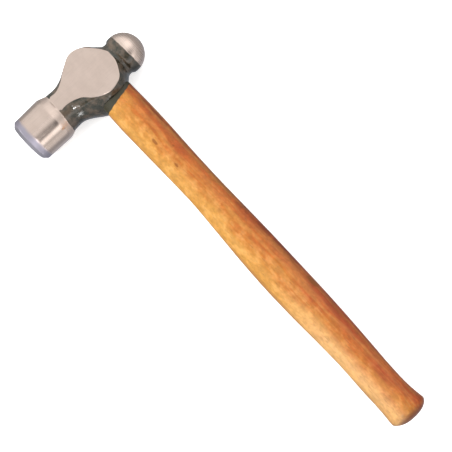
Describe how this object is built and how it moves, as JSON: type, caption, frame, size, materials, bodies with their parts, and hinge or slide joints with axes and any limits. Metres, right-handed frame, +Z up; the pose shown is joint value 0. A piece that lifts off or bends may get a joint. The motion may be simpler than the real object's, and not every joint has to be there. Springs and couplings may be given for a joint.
{
  "type": "ball peen hammer",
  "caption": "Ball peen hammer: forged steel head with ground cheeks, black-painted neck, ball and face polished, wedged onto a varnished wooden handle with a swelled grip and bell butt.",
  "frame": {"origin": "under the middle of the part's box, on the surface it lies on", "axes": "+X along the handle towards the butt, +Y along the head towards the ball, +Z up through the thickness; the hammer lies on its side"},
  "size_m": [0.3222, 0.101, 0.0334],
  "materials": {
    "head": "ground and polished face, cheeks and ball; black gloss paint between them",
    "handle": "clear varnish over a warm straight-grained hardwood",
    "wood_wedge": "sawn end grain",
    "steel_wedge": "plain mild steel"
  },
  "bodies": {
    "root": {"head": "head", "handle": "handle", "wood_wedge": "wood_wedge", "steel_wedge": "steel_wedge"}
  },
  "joints": []
}
